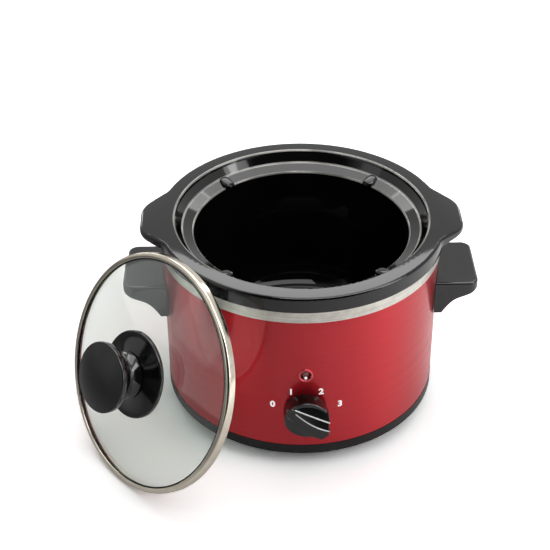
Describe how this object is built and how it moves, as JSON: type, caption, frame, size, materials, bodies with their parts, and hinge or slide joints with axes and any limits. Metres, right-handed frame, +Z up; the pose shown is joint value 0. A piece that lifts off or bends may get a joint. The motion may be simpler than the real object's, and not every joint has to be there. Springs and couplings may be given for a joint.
{
  "type": "slow cooker",
  "caption": "Round electric slow cooker with side handles, lift-out stoneware crock, rotary heat control and a separate domed glass lid leaning on its rim.",
  "frame": {"origin": "on the cooker's vertical axis at the table it stands on", "axes": "+Z up along the cooker's axis, out of the crock's mouth; +X towards the right-hand handle seen from the front; the heat control faces -Y"},
  "size_m": [0.2807, 0.2543, 0.1491],
  "materials": {
    "base_plastic": "satin black heat-resistant plastic",
    "foot_rubber": "matt black rubber",
    "red_lacquered_steel": "glossy red lacquer over brushed steel",
    "brushed_aluminium": "bare, fine brushed aluminium",
    "handle_plastic": "smooth black phenolic plastic",
    "zinc_steel": "zinc-plated steel",
    "switch_plastic": "cream moulded plastic",
    "lamp_lens": "clear red-amber plastic",
    "lamp_glass": "clear neon lamp glass",
    "heater_mica": "glass-cloth and mica heater band",
    "shield_aluminium": "bright aluminised sheet",
    "fuse_metal": "plain metal can",
    "block_ceramic": "white steatite",
    "wire_sleeve": "glass-braid wire sleeve",
    "glazed_stoneware": "glossy black glaze",
    "clear_glass": "clear tempered glass",
    "rolled_steel_rim": "polished stainless steel"
  },
  "bodies": {
    "base": {"base_pan": "base_plastic", "rubber_pads": "foot_rubber", "housing_shell": "red_lacquered_steel", "heating_well": "brushed_aluminium", "handle_right": "handle_plastic", "handle_left": "handle_plastic", "handle_screws": "zinc_steel", "switch_body": "switch_plastic", "switch_nut": "zinc_steel", "indicator_lens": "lamp_lens", "neon_lamp": "lamp_glass", "lamp_clip": "zinc_steel", "heater_band": "heater_mica", "heater_strap": "zinc_steel", "strap_bolt": "zinc_steel", "centre_stud": "zinc_steel", "heat_shield": "shield_aluminium", "stud_nuts": "zinc_steel", "thermal_fuse": "fuse_metal", "fuse_clip": "zinc_steel", "cord_gland": "handle_plastic", "terminal_block": "block_ceramic", "terminal_screws": "zinc_steel", "supply_live_wire": "wire_sleeve", "supply_neutral_wire": "wire_sleeve", "heater_return_wire": "wire_sleeve", "heater_feed_wire": "wire_sleeve"},
    "crock": {"crock": "glazed_stoneware"},
    "control": {"control_knob": "handle_plastic", "switch_shaft": "zinc_steel"},
    "lid": {"lid_glass": "clear_glass", "lid_rim": "rolled_steel_rim", "lid_collar": "handle_plastic", "lid_knob": "handle_plastic", "lid_washer": "zinc_steel", "lid_screw": "zinc_steel"}
  },
  "joints": [
    {"name": "crock_lift", "type": "slide", "parent": "base", "child": "crock", "axis": [0, 0, 1], "range_m": [0, 0.15]},
    {"name": "heat_control_turn", "type": "hinge", "parent": "base", "child": "control", "pos_m": [0, -0.1, 0.0518], "axis": [0, 1, 0], "range_deg": [0, 140]},
    {"name": "lid_pull_away", "type": "slide", "parent": "base", "child": "lid", "axis": [-0.723, -0.573, 0.3859], "range_m": [0, 0.12]}
  ]
}
